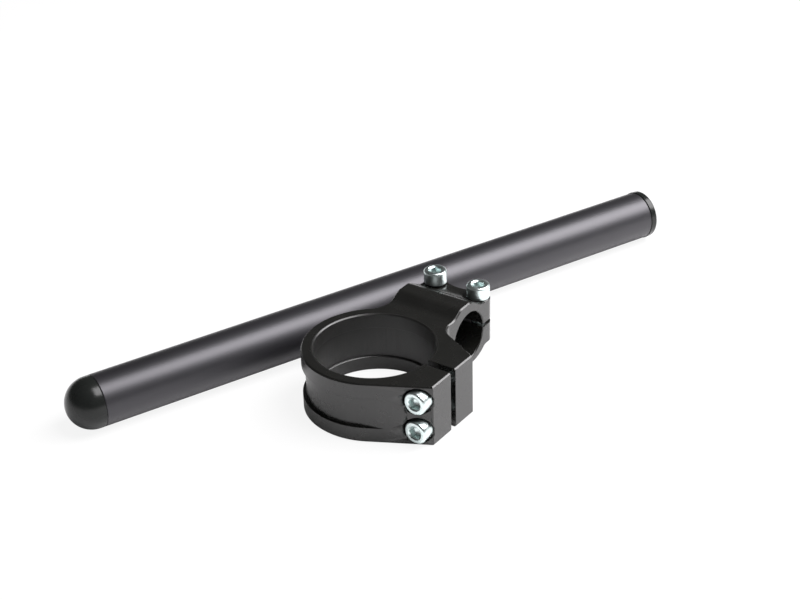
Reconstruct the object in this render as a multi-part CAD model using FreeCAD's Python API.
import FreeCAD, Part
import math
import os

from FreeCAD import Vector

# A clip-on handlebar for a motorcycle: a split clamp for the fork tube with a split
# socket for the bar on its side, four pinch screws, and the bar itself, which lies
# beside the clamp with a plug in each end.
#
# Frame: the origin is the centre of the fork bore. +Z runs up the bore, +X runs from
# the bore out through the split nose, and +Y runs from the bore towards the bar socket.
# All sizes are in millimetres.

# Fork ring
fork_tube_diameter = 50.0
fork_clearance = 0.05
ring_wall = 5.1
clamp_height = 27.4
land_height = 6.6
land_relief = 0.9
bore_chamfer = 0.5
edge_chamfer = 0.6

# Groove milled round the outside of the ring, between two rims
rim_height = 6.8
groove_depth = 1.5
groove_start_setback = 17.6
groove_end_angle = 130.0

# Nose, where the ring is split
nose_reach = 8.0
nose_width = 28.6
nose_slit = 3.5

# Web and bar socket
bar_diameter = 22.2
bar_clearance = 0.05
web_wall = 8.0
socket_centre_x = 1.0
socket_lift = 0.7
crown_rise = 3.0
crown_lean = 1.9
crown_flat = 7.4
belly_rise = 2.1
belly_lean = 1.8
pinch_slit = 1.9
upper_jaw = 10.0
lower_jaw = 9.45
crown_flank_angle = 30.0
crown_edge_radius = 5.0
crown_root_radius = 6.0
crown_toe_radius = 14.0
belly_flank_radius = 3.0
front_web_radius = 8.0
rear_web_radius = 11.0
socket_chamfer = 0.4

# Socket head screws, M6
screw_diameter = 6.0
head_diameter = 10.0
head_height = 6.0
key_width = 5.0
key_depth = 3.0
hole_clearance = 0.3
thread_clearance = 0.05
hole_run_out = 2.0

# Bar pinch screws, upright through the socket lugs
bar_screw_length = 20.0
bar_screw_pitch = 22.0
bar_screw_skin = 0.9
lug_margin = 0.2
lug_scallop = 2.8
bar_screw_pocket = 2.0
rear_screw_lift = 0.7

# Fork pinch screws, across the nose
fork_screw_length = 25.0
fork_screw_pitch = 13.5
fork_screw_setback = 5.6
fork_screw_seat = 11.85
fork_screw_pocket = 0.9

# Bar tube and its plugs
bar_length = 284.5
bar_wall = 3.0
bar_end_chamfer = 0.3
plug_clearance = 0.05
spigot_length = 30.0
dome_collar = 2.0
cap_flange = 3.4
cap_overhang = 0.25
cap_chamfer = 0.8

# Where the bar lies beside the clamp
bar_heading = 68.0
bar_gap = 3.4
bar_dome_side = 101.5

# Sizes that follow from the ones above
fork_bore_radius = fork_tube_diameter / 2 + fork_clearance
ring_radius = fork_bore_radius + ring_wall
half_height = clamp_height / 2
nose_x = ring_radius + nose_reach
nose_half = nose_width / 2

bar_radius = bar_diameter / 2
bar_bore_radius = bar_radius + bar_clearance
socket_y = fork_bore_radius + web_wall + bar_bore_radius
socket_z = socket_lift
seat_z = socket_z + pinch_slit / 2 + upper_jaw
lug_bottom_z = socket_z - pinch_slit / 2 - lower_jaw

screw_radius = screw_diameter / 2
head_radius = head_diameter / 2
clearance_radius = screw_radius + hole_clearance
thread_radius = screw_radius + thread_clearance

lug_radius = head_radius + lug_margin
bar_screw_y = socket_y + bar_bore_radius + bar_screw_skin + clearance_radius
front_screw_x = socket_centre_x + bar_screw_pitch / 2
rear_screw_x = socket_centre_x - bar_screw_pitch / 2
socket_front_x = front_screw_x + lug_radius
socket_rear_x = rear_screw_x - lug_radius
lug_outer_y = bar_screw_y + lug_radius

fork_screw_x = nose_x - fork_screw_setback
fork_seat_y = -nose_slit / 2 - fork_screw_seat

beyond = clamp_height + head_height + ring_radius


def polar(radius, degrees):
    """A point in the plan view at this radius and angle from the fork axis."""
    turn = math.radians(degrees)
    return Vector(radius * math.cos(turn), radius * math.sin(turn), 0)


def line(start, end):
    return Part.LineSegment(start, end).toShape()


def arc(start, middle, end):
    return Part.Arc(start, middle, end).toShape()


def prism(edges, direction):
    """A solid with this closed outline, pushed along the direction."""
    return Part.Face(Part.Wire(edges)).extrude(direction)


def cylinder(radius, start, end):
    """A round bar from one point to another."""
    axis = end - start
    return Part.makeCylinder(radius, axis.Length, start, axis)


def cone(start_radius, end_radius, start, end):
    """A round taper from one point to another."""
    axis = end - start
    return Part.makeCone(start_radius, end_radius, axis.Length, start, axis)


def edges_along(solid, direction, places):
    """The straight edges along a direction that pass through one of the places."""
    found = []
    for edge in solid.Edges:
        if not isinstance(edge.Curve, Part.Line):
            continue
        first = edge.Vertexes[0].Point
        run = edge.Vertexes[-1].Point - first
        if run.Length < 1e-6 or run.cross(direction).Length > 1e-6 * run.Length:
            continue
        for place in places:
            if (place - first).cross(direction).Length < 1e-4:
                found.append(edge)
                break
    return found


def is_upright(face):
    """True where a face is a wall, so that its normal has no Z."""
    u_min, u_max, v_min, v_max = face.ParameterRange
    for share in (0.25, 0.5, 0.75):
        u = u_min + share * (u_max - u_min)
        v = v_min + share * (v_max - v_min)
        if abs(face.normalAt(u, v).z) > 1e-4:
            return False
    return True


def outline_edges(solid):
    """The edges where an upright wall meets a top or bottom surface."""
    found = []
    for edge in solid.Edges:
        faces = solid.ancestorsOfType(edge, Part.Face)
        if len(faces) == 2 and is_upright(faces[0]) != is_upright(faces[1]):
            found.append(edge)
    return found


def cheek_tangent():
    """The angle at which the flat cheek of the nose runs onto the round of the ring."""
    corner = math.degrees(math.atan2(nose_half, nose_x))
    distance = math.hypot(nose_x, nose_half)
    return corner + math.degrees(math.acos(ring_radius / distance))


def cheek_y(x):
    """How far out the cheek lies at this X."""
    turn = math.radians(cheek_tangent())
    return (ring_radius - x * math.cos(turn)) / math.sin(turn)


def lug_edges():
    """The outboard edge of the socket: a round lug at each screw, a scallop between."""
    deepest = lug_outer_y - lug_scallop
    half_pitch = bar_screw_pitch / 2
    gap = deepest - bar_screw_y
    scallop_radius = (half_pitch ** 2 + gap ** 2 - lug_radius ** 2) / (2 * (lug_radius - gap))
    scallop_centre = Vector(socket_centre_x, deepest + scallop_radius, 0)
    front_centre = Vector(front_screw_x, bar_screw_y, 0)
    rear_centre = Vector(rear_screw_x, bar_screw_y, 0)
    to_front = (scallop_centre - front_centre).normalize() * lug_radius
    to_rear = (scallop_centre - rear_centre).normalize() * lug_radius
    front_join = front_centre + to_front
    rear_join = rear_centre + to_rear
    front_middle = (Vector(lug_radius, 0, 0) + to_front).normalize() * lug_radius
    rear_middle = (Vector(-lug_radius, 0, 0) + to_rear).normalize() * lug_radius
    return [
        arc(Vector(socket_front_x, bar_screw_y, 0), front_centre + front_middle, front_join),
        arc(front_join, Vector(socket_centre_x, deepest, 0), rear_join),
        arc(rear_join, rear_centre + rear_middle, Vector(socket_rear_x, bar_screw_y, 0)),
    ]


def plan_prism():
    """The clamp's outline seen from above, taller than the clamp."""
    tangent = cheek_tangent()
    front_web = Vector(socket_front_x, cheek_y(socket_front_x), 0)
    rear_web = Vector(socket_rear_x, math.sqrt(ring_radius ** 2 - socket_rear_x ** 2), 0)
    rear_turn = math.degrees(math.atan2(rear_web.y, rear_web.x))
    middle_turn = (rear_turn + 360 - tangent) / 2
    cheek_foot = polar(ring_radius, -tangent)
    edges = [
        line(Vector(nose_x, -nose_half, 0), Vector(nose_x, nose_half, 0)),
        line(Vector(nose_x, nose_half, 0), front_web),
        line(front_web, Vector(socket_front_x, bar_screw_y, 0)),
        *lug_edges(),
        line(Vector(socket_rear_x, bar_screw_y, 0), rear_web),
        arc(rear_web, polar(ring_radius, middle_turn), cheek_foot),
        line(cheek_foot, Vector(nose_x, -nose_half, 0)),
    ]
    plan = prism(edges, Vector(0, 0, 2 * beyond))
    plan.translate(Vector(0, 0, -beyond))
    up = Vector(0, 0, 1)
    plan = plan.makeFillet(front_web_radius, edges_along(plan, up, [front_web]))
    return plan.makeFillet(rear_web_radius, edges_along(plan, up, [rear_web]))


def side_prism():
    """The section across the socket, pushed along X: flat ring, raised crown, lug."""
    crown_y = socket_y - crown_lean
    crown_z = half_height + crown_rise
    flank_slope = math.tan(math.radians(crown_flank_angle))
    inner_edge_y = crown_y - crown_flat / 2
    outer_edge_y = crown_y + crown_flat / 2
    root_y = inner_edge_y - crown_rise / flank_slope
    toe_y = outer_edge_y + (crown_z - seat_z) / flank_slope

    belly_radius = half_height + socket_z + belly_rise
    belly_y = socket_y + belly_lean
    belly_z = -half_height + belly_radius
    belly_flank_y = belly_y + math.sqrt(belly_radius ** 2 - (belly_z - lug_bottom_z) ** 2)
    belly_middle = math.atan2(belly_z - lug_bottom_z, belly_flank_y - belly_y)
    belly_middle = (belly_middle + math.pi / 2) / 2

    x = -beyond
    inner_y = -beyond
    outer_y = lug_outer_y + beyond
    corner = Vector(x, inner_y, -half_height)
    belly_foot = Vector(x, belly_y, -half_height)
    belly_side = Vector(
        x,
        belly_y + belly_radius * math.cos(belly_middle),
        belly_z - belly_radius * math.sin(belly_middle),
    )
    belly_flank = Vector(x, belly_flank_y, lug_bottom_z)
    lug_bottom = Vector(x, outer_y, lug_bottom_z)
    lug_top = Vector(x, outer_y, seat_z)
    toe = Vector(x, toe_y, seat_z)
    outer_edge = Vector(x, outer_edge_y, crown_z)
    inner_edge = Vector(x, inner_edge_y, crown_z)
    root = Vector(x, root_y, half_height)
    top_corner = Vector(x, inner_y, half_height)
    edges = [
        line(corner, belly_foot),
        arc(belly_foot, belly_side, belly_flank),
        line(belly_flank, lug_bottom),
        line(lug_bottom, lug_top),
        line(lug_top, toe),
        line(toe, outer_edge),
        line(outer_edge, inner_edge),
        line(inner_edge, root),
        line(root, top_corner),
        line(top_corner, corner),
    ]
    side = prism(edges, Vector(2 * beyond, 0, 0))
    along = Vector(1, 0, 0)
    crown_edges = edges_along(side, along, [inner_edge, outer_edge])
    side = side.makeFillet(crown_edge_radius, crown_edges)
    side = side.makeFillet(crown_root_radius, edges_along(side, along, [root]))
    side = side.makeFillet(crown_toe_radius, edges_along(side, along, [toe]))
    return side.makeFillet(belly_flank_radius, edges_along(side, along, [belly_flank]))


def ring_groove():
    """The cutter for the groove: its floor runs out into the cheek at one end and into
    the ring at the other, so neither end has a step."""
    floor_radius = ring_radius - groove_depth
    start_x = nose_x - groove_start_setback
    start = Vector(start_x, -cheek_y(start_x), 0)
    start_turn = math.degrees(math.atan2(start.y, start.x))
    floor_start = start_turn - math.degrees(math.acos(floor_radius / start.Length))
    run_out = math.degrees(math.acos(floor_radius / ring_radius))
    floor_end = groove_end_angle + run_out - 360
    outside = ring_radius + nose_reach
    tangent = cheek_tangent()
    square_to_cheek = polar(outside, -tangent)
    edges = [
        line(start, polar(floor_radius, floor_start)),
        arc(
            polar(floor_radius, floor_start),
            polar(floor_radius, (floor_start + floor_end) / 2),
            polar(floor_radius, floor_end),
        ),
        line(polar(floor_radius, floor_end), polar(ring_radius, groove_end_angle)),
        line(polar(ring_radius, groove_end_angle), polar(2 * outside, groove_end_angle)),
        arc(
            polar(2 * outside, groove_end_angle),
            polar(2 * outside, (groove_end_angle - 360 - tangent) / 2),
            polar(2 * outside, -tangent),
        ),
        line(polar(2 * outside, -tangent), start + square_to_cheek),
        line(start + square_to_cheek, start),
    ]
    groove_height = clamp_height - 2 * rim_height
    groove = prism(edges, Vector(0, 0, groove_height))
    groove.translate(Vector(0, 0, -groove_height / 2))
    return groove


def fork_bore():
    """Two lands that grip the fork tube, with the middle of the bore relieved."""
    bore = cylinder(fork_bore_radius, Vector(0, 0, -beyond), Vector(0, 0, beyond))
    relief_end = half_height - land_height
    relief = cylinder(
        fork_bore_radius + land_relief, Vector(0, 0, -relief_end), Vector(0, 0, relief_end)
    )
    mouths = []
    for side in (-1, 1):
        mouths.append(
            cone(
                fork_bore_radius,
                fork_bore_radius + 2 * bore_chamfer,
                Vector(0, 0, side * (half_height - bore_chamfer)),
                Vector(0, 0, side * (half_height + bore_chamfer)),
            )
        )
    return bore.fuse([relief, *mouths])


def bar_bore():
    """The bore for the bar, right through the socket, with a chamfer at each mouth."""
    bore = cylinder(
        bar_bore_radius,
        Vector(socket_rear_x - socket_chamfer, socket_y, socket_z),
        Vector(socket_front_x + socket_chamfer, socket_y, socket_z),
    )
    mouths = []
    for end_x, outward in ((socket_rear_x, -1), (socket_front_x, 1)):
        mouths.append(
            cone(
                bar_bore_radius,
                bar_bore_radius + 2 * socket_chamfer,
                Vector(end_x - outward * socket_chamfer, socket_y, socket_z),
                Vector(end_x + outward * socket_chamfer, socket_y, socket_z),
            )
        )
    return bore.fuse(mouths)


def slits():
    """The cut through the nose and the cut through the outboard side of the socket."""
    nose_cut = Part.makeBox(
        nose_x + nose_reach, nose_slit, 2 * beyond, Vector(0, -nose_slit / 2, -beyond)
    )
    pinch_cut = Part.makeBox(
        2 * beyond,
        lug_outer_y,
        pinch_slit,
        Vector(-beyond, socket_y, socket_z - pinch_slit / 2),
    )
    return [nose_cut, pinch_cut]


def bar_screw_cuts():
    """Pocket, clearance hole and threaded hole for each bar pinch screw."""
    cuts = []
    for x in (front_screw_x, rear_screw_x):
        seat = Vector(x, bar_screw_y, seat_z)
        slit = Vector(x, bar_screw_y, socket_z)
        under = Vector(x, bar_screw_y, lug_bottom_z - 1)
        cuts.append(cylinder(head_radius + bar_screw_pocket, seat, seat + Vector(0, 0, beyond)))
        cuts.append(cylinder(clearance_radius, slit, seat + Vector(0, 0, 1)))
        cuts.append(cylinder(thread_radius, under, slit))
    return cuts


def fork_screw_places():
    """The centre of each fork screw's seat, from the upper to the lower."""
    return [
        Vector(fork_screw_x, fork_seat_y, side * fork_screw_pitch / 2) for side in (1, -1)
    ]


def fork_screw_cuts():
    """Pocket in the cheek, clearance hole in one jaw and threaded hole in the other."""
    cuts = []
    hole_end = fork_seat_y + fork_screw_length + hole_run_out
    for seat in fork_screw_places():
        slit = Vector(seat.x, 0, seat.z)
        end = Vector(seat.x, hole_end, seat.z)
        cuts.append(
            cylinder(head_radius + fork_screw_pocket, seat, seat + Vector(0, -beyond, 0))
        )
        cuts.append(cylinder(clearance_radius, seat + Vector(0, -1, 0), slit))
        cuts.append(cylinder(thread_radius, slit, end))
    return cuts


def clamp_body():
    """The plan outline and the side section, crossed, then bored, slit and drilled."""
    body = plan_prism().common(side_prism())
    body = body.makeChamfer(edge_chamfer, outline_edges(body))
    body = body.cut(ring_groove())
    body = body.cut([fork_bore(), bar_bore(), *slits()])
    body = body.cut([*bar_screw_cuts(), *fork_screw_cuts()])
    return body.removeSplitter()


def socket_screw(length):
    """A socket head screw that points down, with the underside of its head at Z = 0."""
    head = cylinder(head_radius, Vector(0, 0, 0), Vector(0, 0, head_height))
    shank = cylinder(screw_radius, Vector(0, 0, 0), Vector(0, 0, -length))
    corner_radius = key_width / math.sqrt(3)
    corners = [polar(corner_radius, 60 * step) for step in range(7)]
    key = Part.Face(Part.makePolygon(corners)).extrude(Vector(0, 0, head_height))
    key.translate(Vector(0, 0, head_height - key_depth))
    return head.fuse(shank).cut(key).removeSplitter()


def bar_screws():
    """The two upright screws. The rear one is a turn short of its seat, as the bar is out."""
    placed = []
    for x, lift in ((front_screw_x, 0), (rear_screw_x, rear_screw_lift)):
        screw = socket_screw(bar_screw_length)
        screw.translate(Vector(x, bar_screw_y, seat_z + lift))
        placed.append(screw)
    return placed


def fork_screws():
    """The two screws across the nose, seated in the cheek pockets."""
    placed = []
    for seat in fork_screw_places():
        screw = socket_screw(fork_screw_length)
        screw.rotate(Vector(0, 0, 0), Vector(1, 0, 0), 90)
        screw.translate(seat)
        placed.append(screw)
    return placed


def rims(solid):
    """The round edges of a turned piece."""
    return [edge for edge in solid.Edges if edge.Closed]


def bar_tube():
    """The tube along +X from the origin, with the outer edge of each end broken."""
    outside = cylinder(bar_radius, Vector(0, 0, 0), Vector(bar_length, 0, 0))
    outside = outside.makeChamfer(bar_end_chamfer, rims(outside))
    return outside.cut(
        cylinder(bar_radius - bar_wall, Vector(0, 0, 0), Vector(bar_length, 0, 0))
    )


def spigot(end_x):
    """The plain shank that holds a plug in the tube, from X = 0 to the given X."""
    return cylinder(bar_radius - bar_wall - plug_clearance, Vector(0, 0, 0), Vector(end_x, 0, 0))


def bar_end_dome():
    """A short collar and a half-round dome, flush with the tube, outside X = 0."""
    foot = Vector(0, 0, 0)
    rim = Vector(0, 0, bar_radius)
    brow = Vector(-dome_collar, 0, bar_radius)
    top = Vector(-dome_collar - bar_radius, 0, 0)
    shoulder = math.sqrt(0.5) * bar_radius
    edges = [
        line(foot, rim),
        line(rim, brow),
        arc(brow, Vector(-dome_collar - shoulder, 0, shoulder), top),
        line(top, foot),
    ]
    dome = Part.Face(Part.Wire(edges)).revolve(Vector(0, 0, 0), Vector(1, 0, 0), 360)
    return dome.fuse(spigot(spigot_length)).removeSplitter()


def bar_end_cap():
    """A flat flange a little wider than the tube, with a broken edge, past X = 0."""
    flange = cylinder(bar_radius + cap_overhang, Vector(0, 0, 0), Vector(cap_flange, 0, 0))
    outer = [edge for edge in rims(flange) if edge.BoundBox.XMin > cap_flange / 2]
    flange = flange.makeChamfer(cap_chamfer, outer)
    return flange.fuse(spigot(-spigot_length)).removeSplitter()


def lay_bar(shape):
    """Put a piece of the bar, drawn along +X from the dome end, where the bar lies."""
    turn = math.radians(bar_heading)
    along = Vector(math.cos(turn), math.sin(turn), 0)
    away = Vector(-math.sin(turn), math.cos(turn), 0)
    lug_reach = away.dot(Vector(rear_screw_x, bar_screw_y, 0)) + lug_radius
    resting_radius = bar_radius + cap_overhang
    distance = max(ring_radius, lug_reach) + bar_gap + resting_radius
    start = away * distance - along * bar_dome_side
    shape.rotate(Vector(0, 0, 0), Vector(0, 0, 1), bar_heading)
    shape.translate(start + Vector(0, 0, resting_radius - half_height))
    return shape


def bar_pieces():
    """The tube with the dome at its outer end and the cap at its inner end."""
    cap = bar_end_cap()
    cap.translate(Vector(bar_length, 0, 0))
    return {
        "bar_tube": lay_bar(bar_tube()),
        "bar_end_dome": lay_bar(bar_end_dome()),
        "bar_end_cap": lay_bar(cap),
    }


def build():
    """Every piece of the handlebar under its node name."""
    pieces = {"clamp_body": clamp_body()}
    names = ("fork_pinch_screw_upper", "fork_pinch_screw_lower")
    pieces.update(zip(names, fork_screws()))
    names = ("bar_pinch_screw_front", "bar_pinch_screw_rear")
    pieces.update(zip(names, bar_screws()))
    pieces.update(bar_pieces())
    return pieces


os.makedirs("parts", exist_ok=True)
for name, shape in build().items():
    shape.exportStep(f"parts/{name}.step")
    print(name, "solids", len(shape.Solids), "valid", shape.isValid(), "volume", round(shape.Volume, 1))
